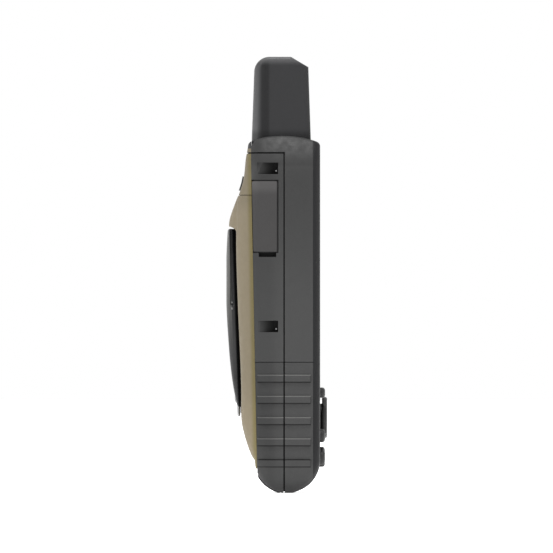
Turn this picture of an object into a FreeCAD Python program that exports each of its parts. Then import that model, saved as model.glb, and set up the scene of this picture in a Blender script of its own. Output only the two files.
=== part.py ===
import FreeCAD, Part

# Handheld satellite navigator with a stub antenna, as a parametric document of separate pieces.
# Millimetres. +Z runs up the case to the antenna, -Y is the front with the screen and keys, +Y is the
# back with the battery door. The origin is under the middle of the whole device, level with its foot.
import math
import os

import Sketcher
from FreeCAD import Placement, Rotation, Vector

DIMENSIONS = {
    # the case's outer form
    "front_y": -15.9,            # plane of the front face
    "foot_radius": 12.0,         # round of the foot, seen from the side
    "foot_corner": 16.0,         # round of the foot's corners, seen from the front
    "foot_flat_angle": 9.0,      # degrees of the foot's round that are left flat to stand on
    "grip_half_width": 29.8,
    "case_half_width": 30.5,
    "waist_low_z": 46.0,         # the grip widens into the case between these two heights
    "waist_high_z": 64.0,
    "shoulder_z": 112.0,
    "shoulder_radius": 26.0,
    "front_corner": 3.0,
    "back_corner": 7.5,
    "crown_radius": 36.0,        # domed top, seen from the side
    "crown_y": -2.0,
    "crown_top_z": 131.2,
    "crown_left_x": -23.0,
    "crown_slope": 4.0,          # degrees that the top falls towards the right
    "crown_fillet": 2.0,
    "wall": 1.8,
    # where the case comes apart
    "bezel_back_y": -13.3,
    "front_wall": 1.5,
    "parting_y": -2.7,
    "parting_gap": 0.5,
    "parting_inset": 0.45,
    "top_parting_z": 124.7,
    "cover_low_y": 7.4,          # the back covers start on a plane through these two points
    "cover_low_z": 20.0,
    "cover_high_y": 9.5,
    "cover_high_z": 126.0,
    "cover_step": 0.9,           # rim that stands above the rear wall
    "rear_wall": 1.6,
    # the battery door, its hump and the top cover
    "door_bottom_z": 8.9,
    "door_top_z": 109.05,
    "cover_bottom_z": 109.35,
    "hump_end_z": 97.8,
    "hump_floor_y": 14.5,
    "hump_fillet": 3.4,
    # the mounting spine on the door
    "spine_top_z": 96.9,
    "spine_end_z": 29.2,
    "spine_end_y": 13.8,
    "spine_edge": 0.9,
    "spine_half_width": 14.0,
    "spine_round": 12.5,
    "rail_depth": 1.4,
    "rail_low_y": 15.8,
    "rail_high_y": 17.1,
    "spine_flat_y": 18.5,
    "rail_stop_z": 68.8,
    # the door latch
    "latch_z": 36.5,
    "latch_floor_y": 13.3,
    "latch_dish_radius": 8.8,
    "latch_shaft_radius": 2.6,
    "latch_head_radius": 3.4,
    "latch_head_y": 15.4,
    "ring_radius": 8.0,
    "ring_wire_radius": 0.6,
    "ring_y": 13.98,
    "running_gap": 0.08,
    # the battery bay
    "bay_half_width": 15.2,
    "bay_low_z": 42.6,
    "bay_high_z": 99.0,
    "bay_floor_y": -1.75,
    "bay_wall": 1.3,
    "battery_radius": 7.2,
    "battery_y": 5.6,
    "battery_x": 7.45,
    "battery_length": 49.3,
    "battery_left_z": 47.2,
    "battery_right_z": 44.9,
    # the antenna
    "antenna_x": -9.0,
    "antenna_foot_z": 126.4,
    "antenna_top_z": 160.0,
    "antenna_half_width": 13.0,
    "antenna_front_y": -12.6,
    "antenna_back_y": 9.3,
    "antenna_taper": 1.0,
    "antenna_round": 5.6,
    "antenna_corner": 4.5,
    "antenna_brow_y": -5.2,
    "antenna_brow_drop": 3.8,
    # screen and keys
    "lens_half_width": 22.3,
    "lens_low_z": 49.6,
    "lens_high_z": 114.0,
    "lens_thickness": 1.3,
    "keymat_y": -11.2,
    "key_front_y": -17.7,
    "key_gap": 0.3,
    "rocker_z": 27.5,
    "rocker_radius": 7.6,
    "rocker_neck": 5.2,
    "rocker_under_y": -16.6,
    "rocker_front_y": -18.5,
    "rocker_axis_y": -12.4,
    "pivot_radius": 0.7,
    # side details
    "grip_top_z": 48.1,
    "grip_depth": 0.9,
    "grip_from_x": 13.0,
    "rib_proud": 0.5,
    "rib_height": 2.6,
    "rib_pitch": 7.77,
    "rib_first_z": 10.9,
    "port_cap_low_z": 88.35,
    "port_cap_high_z": 114.5,
    "port_cap_front_y": -0.3,
    "port_cap_depth": 1.6,
    "cap_gap": 0.3,
    "port_z": 102.0,
    "port_y": 3.6,
    "jack_z": 113.6,
    "catch_low_z": 61.1,
    "catch_high_z": 119.0,
    "catch_height": 4.2,
    "catch_depth": 2.5,
    "power_z": 105.0,
    "power_y": -7.3,
    "screw_x": 25.6,
    "screw_radius": 1.0,
    "board_half_width": 22.8,
}
# Height and back face of the case's stations above the foot's round. The loft runs smoothly through them.
BACK_STATIONS = (
    (16.0, 10.2), (22.5, 12.2), (26.5, 12.95), (32.0, 13.05), (44.0, 13.2), (60.0, 13.9), (78.0, 14.6),
    (92.0, 14.9), (103.0, 14.7), (109.0, 14.0), (113.0, 12.7), (118.0, 11.8), (123.0, 11.3), (127.0, 10.6),
    (133.0, 9.0),
)
# Height and back face of the hump above the spine.
HUMP_STATIONS = ((90.0, 17.3), (97.0, 17.5), (100.0, 17.35), (103.0, 16.5), (106.0, 15.4), (109.2, 14.05))
# Height and back face of the mounting spine, from its round end up to its head.
SPINE_STATIONS = (
    (25.0, 13.1), (29.2, 14.2), (33.7, 15.0), (38.0, 15.8), (45.0, 16.8), (48.7, 17.2), (57.9, 17.9),
    (63.4, 18.25), (71.0, 18.55), (78.0, 18.62), (85.0, 18.55), (92.9, 18.24), (99.0, 17.8),
)
SCREW_HEIGHTS = (21.0, 66.0, 113.0)
# Key name, x, z, width, height and turn in degrees.
KEYS = (
    ("key_zoom_in", -13.0, 36.7, 13.0, 3.6, 0.0),
    ("key_zoom_out", 13.0, 36.7, 13.0, 3.6, 0.0),
    ("key_back", -16.2, 21.0, 12.0, 4.8, 0.0),
    ("key_enter", 16.2, 21.0, 12.0, 4.8, 0.0),
    ("key_find", -17.3, 13.5, 9.6, 5.2, -14.0),
    ("key_menu", -5.9, 12.2, 9.6, 5.2, -4.0),
    ("key_page", 5.9, 12.2, 9.6, 5.2, 4.0),
    ("key_mark", 17.3, 13.5, 9.6, 5.2, 14.0),
)
AXIS_X = Vector(1, 0, 0)
AXIS_Y = Vector(0, 1, 0)
AXIS_Z = Vector(0, 0, 1)
REACH = 200.0  # further than any part of the device
ABOUT_EQUAL = 1e-4
SMALLEST = 0.01  # volume of the smallest solid that is kept
HALF_ROUND = math.sqrt(0.5)  # how far along each axis the middle of a quarter round lies

doc = FreeCAD.newDocument("satellite_navigator")
pieces = []


def make_sheet():
    """The spreadsheet of driving dimensions, one alias to a row."""
    rows = dict(DIMENSIONS)
    for number, (height, back) in enumerate(BACK_STATIONS, 1):
        rows[f"back_station_{number}_z"] = height
        rows[f"back_station_{number}_y"] = back
    for number, (height, back) in enumerate(HUMP_STATIONS, 1):
        rows[f"hump_station_{number}_z"] = height
        rows[f"hump_station_{number}_y"] = back
    for number, (height, back) in enumerate(SPINE_STATIONS, 1):
        rows[f"spine_station_{number}_z"] = height
        rows[f"spine_station_{number}_y"] = back
    made = doc.addObject("Spreadsheet::Sheet", "Dims")
    for row, (alias, value) in enumerate(rows.items(), 1):
        made.set(f"A{row}", alias)
        made.set(f"B{row}", str(value))
        made.setAlias(f"B{row}", alias)
    doc.recompute()
    return made


sheet = make_sheet()


class Length:
    """A number worked out from the sheet's cells, with the expression that binds it to them."""

    def __init__(self, text, value):
        self.text = text
        self.value = value

    def __add__(self, other):
        other = as_length(other)
        return Length(f"({self.text} + {other.text})", self.value + other.value)

    def __sub__(self, other):
        other = as_length(other)
        return Length(f"({self.text} - {other.text})", self.value - other.value)

    def __mul__(self, other):
        other = as_length(other)
        return Length(f"({self.text} * {other.text})", self.value * other.value)

    def __neg__(self):
        return Length(f"(0 - {self.text})", -self.value)


def as_length(number):
    return number if isinstance(number, Length) else Length(str(number), float(number))


def size(alias):
    """The number in a cell."""
    return float(sheet.get(alias))


def cell(alias):
    """A cell as a Length, for the features that are bound to the sheet."""
    return Length(f"Dims.{alias}", size(alias))


def bind(feature, path, length):
    feature.setExpression(path, as_length(length).text)


# ---------------------------------------------------------------- parametric features


def keep(feature):
    """Marks a document object as a finished piece of the device."""
    pieces.append(feature)
    return feature


def box(label, low, high):
    """A Part::Box between two corners, each of three Lengths or numbers."""
    feature = doc.addObject("Part::Box", label)
    feature.Label = label
    for side, axis, start, end in zip(("Length", "Width", "Height"), "xyz", low, high):
        bind(feature, side, as_length(end) - start)
        bind(feature, f"Placement.Base.{axis}", start)
    return feature


def cylinder(label, base, radius, height, direction=AXIS_Z):
    """A Part::Cylinder from its base point along a direction."""
    feature = doc.addObject("Part::Cylinder", label)
    feature.Label = label
    feature.Placement = Placement(Vector(), Rotation(AXIS_Z, direction))
    bind(feature, "Radius", radius)
    bind(feature, "Height", height)
    for axis, start in zip("xyz", base):
        bind(feature, f"Placement.Base.{axis}", start)
    return feature


def cut(label, base, *tools):
    """base less its tools, as a chain of Part::Cut features."""
    for number, tool in enumerate(tools, 1):
        feature = doc.addObject("Part::Cut", label if number == len(tools) else f"{label}_cut_{number}")
        feature.Base = base
        feature.Tool = tool
        base = feature
    base.Label = label
    return base


def fuse(label, *shapes):
    feature = doc.addObject("Part::MultiFuse", label)
    feature.Shapes = list(shapes)
    feature.Label = label
    return feature


def rounded(label, base, radius, chosen):
    """base with a Part::Fillet on each edge that chosen() accepts."""
    doc.recompute()
    feature = doc.addObject("Part::Fillet", label)
    feature.Base = base
    edges = base.Shape.Edges
    feature.Edges = [(n, radius, radius) for n, edge in enumerate(edges, 1) if chosen(edge)]
    feature.Label = label
    return feature


def runs_along(edge, axis):
    """Whether an edge is straight and parallel to an axis."""
    return isinstance(edge.Curve, Part.Line) and abs(abs(edge.Curve.Direction.dot(axis)) - 1) < ABOUT_EQUAL


def start_body(label):
    made = doc.addObject("PartDesign::Body", label)
    made.Label = label
    return made


def front_sketch(body, name, y):
    """A sketch across the body's XZ plane at a depth y; its own x is X and its own y is Z."""
    sketch = body.newObject("Sketcher::SketchObject", name)
    plane = next(f for f in body.Origin.OriginFeatures if f.Role == "XZ_Plane")
    sketch.AttachmentSupport = [(plane, "")]
    sketch.MapMode = "FlatFace"
    bind(sketch, "AttachmentOffset.Base.z", -as_length(y))
    return sketch


def draw_rectangle(sketch, width, height):
    """A rectangle about the sketch's origin, its sides bound to the sheet."""
    half_width, half_height = as_length(width) * 0.5, as_length(height) * 0.5
    x, y = half_width.value, half_height.value
    corners = (Vector(-x, -y), Vector(x, -y), Vector(x, y), Vector(-x, y))
    for start, end in zip(corners, corners[1:] + corners[:1]):
        sketch.addGeometry(Part.LineSegment(start, end), False)
    for side in range(4):
        sketch.addConstraint(Sketcher.Constraint("Coincident", side, 2, (side + 1) % 4, 1))
        sketch.addConstraint(Sketcher.Constraint("Vertical" if side % 2 else "Horizontal", side))
    for kind, point, value in (
        ("DistanceX", 2, half_width), ("DistanceY", 2, half_height),
        ("DistanceX", 4, -half_width), ("DistanceY", 4, -half_height),
    ):
        side, end = (1, 2) if point == 2 else (0, 1)
        number = sketch.addConstraint(Sketcher.Constraint(kind, -1, 1, side, end, value.value))
        bind(sketch, f"Constraints[{number}]", value)


def pad(body, sketch, name, length):
    feature = body.newObject("PartDesign::Pad", name)
    feature.Profile = sketch
    bind(feature, "Length", length)
    doc.recompute()
    return feature


def fillet(body, name, radius, chosen):
    """A fillet on the edges of the body's last feature that chosen() accepts."""
    last = body.Tip
    names = [f"Edge{n}" for n, edge in enumerate(last.Shape.Edges, 1) if chosen(edge)]
    feature = body.newObject("PartDesign::Fillet", name)
    feature.Base = (last, names)
    bind(feature, "Radius", radius)
    doc.recompute()
    return feature


def piece_from(label, shape):
    """A Part::Feature for a sculpted piece, worked out from the sheet with Part's own functions."""
    feature = doc.addObject("Part::Feature", label)
    feature.Label = label
    solids = [s for s in shape.Solids if s.Volume > SMALLEST]
    feature.Shape = solids[0] if len(solids) == 1 else Part.makeCompound(solids)
    feature.Placement = feature.Shape.Placement
    return keep(feature)


# ---------------------------------------------------------------- plain shapes for the sculpted pieces


def block(x, y, z):
    """A box between pairs of limits."""
    return Part.makeBox(x[1] - x[0], y[1] - y[0], z[1] - z[0], Vector(x[0], y[0], z[0]))


def rod(radius, start, length, direction):
    return Part.makeCylinder(radius, length, Vector(*start), direction)


def below_height(z):
    return block((-REACH, REACH), (-REACH, REACH), (-REACH, z))


def above_height(z):
    return block((-REACH, REACH), (-REACH, REACH), (z, REACH))


def between_depths(low, high):
    return block((-REACH, REACH), (low, high), (-REACH, REACH))


def cover_depth(z):
    """Depth of the plane on which the back covers start."""
    share = (z - size("cover_low_z")) / (size("cover_high_z") - size("cover_low_z"))
    return size("cover_low_y") + share * (size("cover_high_y") - size("cover_low_y"))


def behind_cover_plane(step=0.0):
    """Everything behind the back covers' plane, moved back by step."""
    corners = [
        Vector(-REACH, cover_depth(-REACH) + step, -REACH), Vector(-REACH, cover_depth(REACH) + step, REACH),
        Vector(-REACH, REACH, REACH), Vector(-REACH, REACH, -REACH),
    ]
    return Part.Face(Part.makePolygon(corners + corners[:1])).extrude(AXIS_X * (2 * REACH))


def rounded_section(z, half_width, front, back, front_corner, back_corner):
    """A closed outline at one height: four straight sides and four quarter rounds."""
    corners = (
        (half_width, front, front_corner, 1, -1), (half_width, back, back_corner, 1, 1),
        (-half_width, back, back_corner, -1, 1), (-half_width, front, front_corner, -1, -1),
    )
    arcs = []
    for x, y, radius, side_x, side_y in corners:
        centre = Vector(x - side_x * radius, y - side_y * radius, z)
        on_x = centre + Vector(side_x * radius, 0, 0)
        on_y = centre + Vector(0, side_y * radius, 0)
        middle = centre + Vector(side_x, side_y, 0) * (radius * HALF_ROUND)
        start, end = (on_y, on_x) if side_x * side_y < 0 else (on_x, on_y)
        arcs.append(Part.Arc(start, middle, end))
    edges = []
    for number, arc in enumerate(arcs):
        following = arcs[(number + 1) % len(arcs)]
        edges.append(arc.toShape())
        edges.append(Part.LineSegment(arc.EndPoint, following.StartPoint).toShape())
    return Part.Wire(edges)


def eased(share):
    """0 to 1 with level ends."""
    share = min(1.0, max(0.0, share))
    return share * share * (3 - 2 * share)


def half_width_at(z, inset):
    """Half the case's width at a height, seen from the front."""
    corner = size("foot_corner")
    grip, case = size("grip_half_width"), size("case_half_width")
    if z < corner:
        return grip - corner + math.sqrt((corner - inset) ** 2 - (corner - z) ** 2)
    if z <= size("shoulder_z"):
        widening = eased((z - size("waist_low_z")) / (size("waist_high_z") - size("waist_low_z")))
        return grip + (case - grip) * widening - inset
    radius = size("shoulder_radius")
    return case - radius + math.sqrt((radius - inset) ** 2 - (z - size("shoulder_z")) ** 2)


def case_section(z, front, back, half_width, inset):
    depth = back - front
    front_corner = min(size("front_corner") - inset / 2, 0.3 * depth)
    back_corner = min(size("back_corner") - inset, 0.33 * depth)
    return rounded_section(z, half_width, front, back, front_corner, back_corner)


def foot_section(angle, inset):
    """A section through the foot's round, at an angle up from its lowest line."""
    radius = size("foot_radius")
    z = radius - (radius - inset) * math.cos(math.radians(angle))
    chord = (radius - inset) * math.sin(math.radians(angle))
    middle = size("front_y") + radius
    flat = angle == size("foot_flat_angle")
    return case_section(inset if flat else z, middle - chord, middle + chord, half_width_at(z, inset), inset)


def crown_limit(inset):
    """All that lies under the domed top, which slopes down to the right."""
    radius, y, top = size("crown_radius"), size("crown_y"), size("crown_top_z")
    centre = Vector(-REACH / 2, y, top - radius)
    dome = Part.makeCylinder(radius - inset, REACH, centre, AXIS_X)
    dome.rotate(centre, AXIS_X, 180)  # its seam faces down
    dome.rotate(Vector(size("crown_left_x"), y, top), AXIS_Y, size("crown_slope"))
    return dome.fuse(below_height(top - radius / 2).common(between_depths(-REACH / 2, REACH / 2)))


def envelope(inset):
    """The solid inside the case's outer skin, moved inwards everywhere by inset."""
    angles = (size("foot_flat_angle"), 20, 32, 45, 58, 73, 90)
    foot = [foot_section(angle, inset) for angle in angles]
    upper = [foot[-1]]
    for number in range(1, len(BACK_STATIONS) + 1):
        z, back = size(f"back_station_{number}_z"), size(f"back_station_{number}_y")
        upper.append(case_section(z, size("front_y") + inset, back - inset, half_width_at(z, inset), inset))
    solid = Part.makeLoft(foot, True, False).fuse(Part.makeLoft(upper, True, False))
    solid = solid.common(crown_limit(inset)).Solids[0]
    if inset > 0:
        return solid
    crown = next(f for f in solid.Faces if f.BoundBox.ZMin > size("shoulder_z") and face_radius(f) > 30)
    return solid.makeFillet(size("crown_fillet"), crown.Edges)


def face_radius(face):
    return face.Surface.Radius if isinstance(face.Surface, Part.Cylinder) else 0.0


def hump(inset):
    """The door's hump above the spine, with a round hollow at its lower end."""
    sections = []
    side_step, corner = 0.9, 13.5
    for number in range(1, len(HUMP_STATIONS) + 1):
        z, back = size(f"hump_station_{number}_z"), size(f"hump_station_{number}_y")
        half_width = half_width_at(z, inset) - side_step
        sections.append(rounded_section(z, half_width, -corner, back - inset, 3.0, corner - inset))
    solid = Part.makeLoft(sections, True, False)
    radius = size("hump_fillet") + inset
    floor = size("hump_floor_y") - inset
    centre_y, centre_z = floor + radius, size("hump_end_z") + inset - radius
    hollow = rod(radius, (-REACH, centre_y, centre_z), 2 * REACH, AXIS_X)
    hollow = hollow.fuse(block((-REACH, REACH), (floor, REACH), (0, centre_z)))
    return solid.cut(hollow.fuse(block((-REACH, REACH), (centre_y, REACH), (0, centre_z + radius))))


# ---------------------------------------------------------------- solids that several pieces share

SKIN = envelope(0.0)
CAVITY = envelope(size("wall"))
GRIP_FLOOR = envelope(size("grip_depth"))
CAP_FLOOR = envelope(size("port_cap_depth"))
FRONT_EDGE_Y = size("parting_y") - size("parting_gap") / 2
REAR_EDGE_Y = size("parting_y") + size("parting_gap") / 2
REAR_TOP_Z = size("top_parting_z") - size("parting_gap") / 2
FRONT_TOP_Z = size("top_parting_z") + size("parting_gap") / 2
FRONT_WALL_Y = size("bezel_back_y") + size("front_wall")


def grip_zone(side):
    """The space of the grip pads on one side, -1 for the left and 1 for the right."""
    x = sorted((side * size("grip_from_x"), side * REACH))
    return block(x, (size("bezel_back_y"), REACH), (-REACH, size("grip_top_z")))


def antenna_form(inset, foot, roof):
    """The antenna stub's side outline swept across its width: upright front, sloped and rounded top."""
    top, stub_round = size("antenna_top_z"), size("antenna_round") - inset
    lean = size("antenna_taper") / (top - size("antenna_foot_z"))
    front = size("antenna_front_y") + inset
    back = size("antenna_back_y") - inset
    rise = foot - size("antenna_foot_z")
    front_low, back_low = front + lean * rise, back - lean * rise
    front_high = front_low + lean * (roof - foot)
    back_high = back_low - lean * (roof - foot)
    brow_z = roof - size("antenna_brow_drop")
    diagonal = stub_round * (1 - HALF_ROUND)
    points = [
        Vector(0, back_low, foot), Vector(0, back_high, roof - stub_round),
        Vector(0, back_high - stub_round, roof), Vector(0, size("antenna_brow_y"), roof),
        Vector(0, front_high, brow_z), Vector(0, front_low, foot),
    ]
    corner = Vector(0, back_high - diagonal, roof - diagonal)
    edges = [Part.LineSegment(points[0], points[1]), Part.Arc(points[1], corner, points[2])]
    edges += [Part.LineSegment(points[n], points[(n + 1) % 6]) for n in range(2, 6)]
    half = size("antenna_half_width") - inset
    form = Part.Face(Part.Wire([edge.toShape() for edge in edges])).extrude(AXIS_X * (2 * half))
    form.translate(Vector(size("antenna_x") - half, 0, 0))
    return form


def rounded_antenna(inset, foot, roof):
    """The stub's form with broad rounds down its back corners and small ones round the rest."""
    form = antenna_form(inset, foot, roof)
    broad, small = size("antenna_corner") - inset, max(0.3, 1.3 - inset)
    middle = size("antenna_x")
    sides = [e for e in form.Edges if abs(e.BoundBox.XMin - middle) > 1 and e.BoundBox.XLength < 0.01]
    sides = [e for e in sides if e.BoundBox.ZMax > foot + 1]
    blank = doc.addObject("Part::Feature", "antenna_blank")
    blank.Shape = form
    shaped = doc.addObject("Part::Fillet", "antenna_rounds")
    shaped.Base = blank
    radii = []
    for number, edge in enumerate(form.Edges, 1):
        if not any(edge.isSame(side) for side in sides):
            continue
        straight, bounds = isinstance(edge.Curve, Part.Line), edge.BoundBox
        if straight and bounds.YMin > 0 and bounds.ZMax < roof - 1:
            radii.append((number, broad, broad))
        elif isinstance(edge.Curve, Part.Circle):
            starts_low = edge.Vertexes[0].Z < edge.Vertexes[-1].Z
            radii.append((number, broad, small) if starts_low else (number, small, broad))
        else:
            radii.append((number, small, small))
    shaped.Edges = radii
    doc.recompute()
    return shaped.Shape


def key_block(width, height, y, gap=0.0):
    """A key's outline with fully round ends, between two depths, about the origin."""
    radius = height / 2 + gap
    middle = block((-width / 2 + height / 2, width / 2 - height / 2), y, (-radius, radius))
    for side in (-1, 1):
        middle = middle.fuse(rod(radius, (side * (width / 2 - height / 2), y[0], 0), y[1] - y[0], AXIS_Y))
    return middle


def key_place(x, z, turn):
    return Placement(Vector(x, 0, z), Rotation(AXIS_Y, turn))


def catch_pocket(side, z):
    """A ramped pocket in a side wall: level with the skin at its back end and deepest at its front end."""
    skin_x = side * half_width_at(z, 0)
    half = size("catch_height") / 2
    back, front, outside, deep = 6.9, -0.5, 3.0, size("catch_depth")
    corners = [
        Vector(skin_x, back, z - half), Vector(skin_x + side * outside, back, z - half),
        Vector(skin_x + side * outside, front, z - half), Vector(skin_x - side * deep, front, z - half),
        Vector(skin_x - side * deep, front + 1.4, z - half),
    ]
    return Part.Face(Part.makePolygon(corners + corners[:1])).extrude(AXIS_Z * (2 * half))


def screw_places():
    for z in SCREW_HEIGHTS:
        for side in (-1, 1):
            yield side * size("screw_x"), z


# ---------------------------------------------------------------- case shells


def make_front_case():
    front = SKIN.common(between_depths(size("bezel_back_y"), FRONT_EDGE_Y))
    top = SKIN.common(between_depths(size("bezel_back_y"), REACH)).common(above_height(FRONT_TOP_Z))
    shell = front.fuse(top).removeSplitter()
    shell = shell.cut(CAVITY.common(between_depths(FRONT_WALL_Y, REACH)))
    lens, low, high = size("lens_half_width"), size("lens_low_z"), size("lens_high_z")
    through = (-REACH, FRONT_WALL_Y + 1)
    shell = shell.cut(block((-lens + 1, lens - 1), through, (low + 1.4, high - 1.4)))
    shell = shell.cut(block((-23.4, 23.4), through, (8.2, 41.2)))
    shell = shell.cut(antenna_form(-0.1, size("antenna_foot_z") - 2, size("antenna_top_z")))
    shell = shell.cut(power_opening())
    for x, z in screw_places():
        boss = rod(2.3, (x, FRONT_WALL_Y - 0.2, z), FRONT_EDGE_Y - FRONT_WALL_Y + 0.2, AXIS_Y)
        shell = shell.fuse(boss.common(SKIN)).cut(rod(size("screw_radius") + 0.03, (x, -9.5, z), 8, AXIS_Y))
    for side in (-1, 1):
        shell = shell.cut(grip_zone(side).cut(GRIP_FLOOR))
    return piece_from("front_case", shell)


def make_rear_case():
    behind = behind_cover_plane()
    shell = SKIN.common(between_depths(REAR_EDGE_Y, REACH)).common(below_height(REAR_TOP_Z)).cut(behind)
    step, wall = size("cover_step"), size("rear_wall")
    shell = shell.cut(CAVITY.cut(behind_cover_plane(-step - wall)))
    shell = shell.cut(CAVITY.common(behind_cover_plane(-step)))
    top = block((-REACH, REACH), (cover_depth(REAR_TOP_Z) - 4, REACH), (REAR_TOP_Z - 2.0, REACH))
    shell = shell.cut(top.common(CAVITY))
    shell = add_battery_bay(shell)
    # thicker wall inside the cap and inside each pocket
    pads = [block((-28.9, -26.6), (REAR_EDGE_Y + 0.3, 7.2), (85.0, 117.2))]
    for side in (-1, 1):
        pads.append(block(sorted((side * 29.0, side * 26.4)), (REAR_EDGE_Y + 0.3, 7.0), (57.5, 65.7)))
        pads.append(block(sorted((side * 29.0, side * 24.6)), (REAR_EDGE_Y + 0.3, 7.0), (115.5, 123.0)))
    for inner in pads:
        shell = shell.fuse(inner.common(GRIP_FLOOR))
    for side in (-1, 1):
        for z in (size("catch_low_z"), size("catch_high_z")):
            shell = shell.cut(catch_pocket(side, z))
    shell = shell.cut(port_cap_opening()).cut(port_slot())
    for x, z in screw_places():
        top = cover_depth(z) - step
        shell = shell.fuse(rod(2.3, (x, REAR_EDGE_Y, z), top - REAR_EDGE_Y - 0.1, AXIS_Y))
        shell = shell.cut(rod(size("screw_radius") + 0.06, (x, REAR_EDGE_Y - 1, z), 20, AXIS_Y))
        shell = shell.cut(rod(2.0, (x, top - 1.0, z), 2.0, AXIS_Y))
    shell = shell.cut(rod(3.3, (0, 4, size("jack_z")), 10, AXIS_Y))
    for side in (-1, 1):
        shell = shell.cut(grip_zone(side).cut(GRIP_FLOOR))
    shell = shell.cut(bumper_zone().cut(GRIP_FLOOR))
    return piece_from("rear_case", shell)


def add_battery_bay(shell):
    half, low, high = size("bay_half_width"), size("bay_low_z"), size("bay_high_z")
    floor, wall = size("bay_floor_y"), size("bay_wall")
    outer = block((-half - wall, half + wall), (floor - 1.1, REACH), (low - wall, high + wall))
    outer = outer.cut(behind_cover_plane(-size("cover_step")))
    card_block = block((-8.6, 8.6), (floor - 2.9, floor), (60.0, 80.0))
    shell = shell.fuse(outer).fuse(card_block)
    shell = shell.cut(block((-half, half), (floor, REACH), (low, high)))
    return shell.cut(block((-7.2, 7.2), (floor - 1.9, floor + 1), (61.6, 77.6)))


def port_cap_zone(gap):
    """The space of the side cap, widened by gap on every edge."""
    low, high = size("port_cap_low_z") - gap, size("port_cap_high_z") + gap
    zone = block((-REACH, -20.0), (size("port_cap_front_y") - gap, REACH), (low, high))
    return zone.cut(behind_cover_plane(gap - 0.15))


def port_cap_opening():
    opening = port_cap_zone(size("cap_gap")).cut(CAP_FLOOR)
    low = size("port_cap_low_z")
    nail_notch = block((-REACH, -28.6), (0.2, 6.6), (low - 1.8, low + 1))
    return opening.fuse(nail_notch)


def port_slot():
    y, z = size("port_y"), size("port_z")
    return block((-REACH, -20.0), (y - 2.3, y + 2.3), (z - 4.3, z + 4.3)).common(CAP_FLOOR)


def power_opening():
    y, z = size("power_y"), size("power_z")
    return block((20.0, REACH), (y - 2.15, y + 2.15), (z - 5.65, z + 5.65))


def make_case_gasket():
    outer = envelope(size("parting_inset")).cut(envelope(size("wall") - 0.3))
    upright = between_depths(FRONT_EDGE_Y, REAR_EDGE_Y).common(below_height(FRONT_TOP_Z))
    level = block((-REACH, REACH), (FRONT_EDGE_Y, REACH), (REAR_TOP_Z, FRONT_TOP_Z))
    gasket = outer.common(upright.fuse(level).removeSplitter())
    for side in (-1, 1):
        gasket = gasket.cut(grip_zone(side).cut(GRIP_FLOOR))
    return piece_from("case_gasket", gasket.cut(bumper_zone().cut(GRIP_FLOOR)))


def make_front_bezel():
    bezel = SKIN.common(between_depths(-REACH, size("bezel_back_y")))
    lens, low, high = size("lens_half_width"), size("lens_low_z"), size("lens_high_z")
    rebate = block((-lens - 0.15, lens + 0.15), (-REACH, size("front_y") + 1.8), (low - 0.15, high + 0.15))
    rebate = rebate.makeFillet(3.0, [e for e in rebate.Edges if runs_along(e, AXIS_Y)])
    window = block((-lens + 1.4, lens - 1.4), (-REACH, REACH), (low + 1.8, high - 1.8))
    bezel = bezel.cut(rebate).cut(window)
    for _, x, z, width, height, turn in KEYS:
        hole = key_block(width, height, (-REACH / 4, 0), size("key_gap"))
        hole.Placement = key_place(x, z, turn)
        bezel = bezel.cut(hole)
    neck = size("rocker_neck") + 0.6
    bezel = bezel.cut(rod(neck, (0, -REACH / 4, size("rocker_z")), REACH / 2, AXIS_Y))
    return piece_from("front_bezel", bezel)


def make_back_cover():
    cover = SKIN.common(behind_cover_plane()).cut(below_height(size("cover_bottom_z")))
    cover = cover.common(below_height(REAR_TOP_Z))
    hollow = CAVITY.common(block((-25, 25), (0, REACH), (size("cover_bottom_z") + 1.6, 118.5)))
    cover = cover.cut(hollow).fuse(jack_well(5.9, 2.0).common(SKIN).common(behind_cover_plane()))
    # a sill closes the seam above the door, a little inside the skin
    low, high = size("door_top_z") + 0.03, size("cover_bottom_z") + 0.3
    sill = envelope(0.35).common(behind_cover_plane(0.05)).common(above_height(low)).common(below_height(high))
    return piece_from("back_cover", cover.fuse(sill).cut(jack_well(5.1, 1.2)))


def jack_well(half_width, half_height):
    """A rounded opening along Y around the antenna jack."""
    z = size("jack_z")
    half_height = half_height + 1.6
    well = block((-half_width, half_width), (5.0, REACH), (z - half_height, z + half_height))
    return well.makeFillet(1.4, [e for e in well.Edges if runs_along(e, AXIS_Y)])


def make_battery_door():
    low, high = size("door_bottom_z"), size("door_top_z")
    span = above_height(low).common(below_height(high))
    door = SKIN.fuse(hump(0.0)).common(behind_cover_plane(0.05)).common(span)
    inner_span = above_height(low + 9).common(below_height(high - size("wall")))
    door = door.cut(CAVITY.fuse(hump(size("wall"))).common(inner_span))
    door = door.cut(spine_opening(REACH))
    shaft = size("latch_shaft_radius") + size("running_gap")
    door = door.cut(rod(shaft, (0, 0, size("latch_z")), REACH, AXIS_Y))
    for side in (-1, 1):
        x = sorted((side * 9.0, side * 15.0))
        y = cover_depth(high)
        door = door.fuse(block(x, (y - 0.75, y + 1.0), (high - 2.6, high - 0.4)))
    return piece_from("battery_door", door)


def spine_opening(top):
    """The gap through the door under the spine, which the batteries reach into."""
    return block((-12.0, 12.0), (0, top), (43.2, 95.2))


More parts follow.
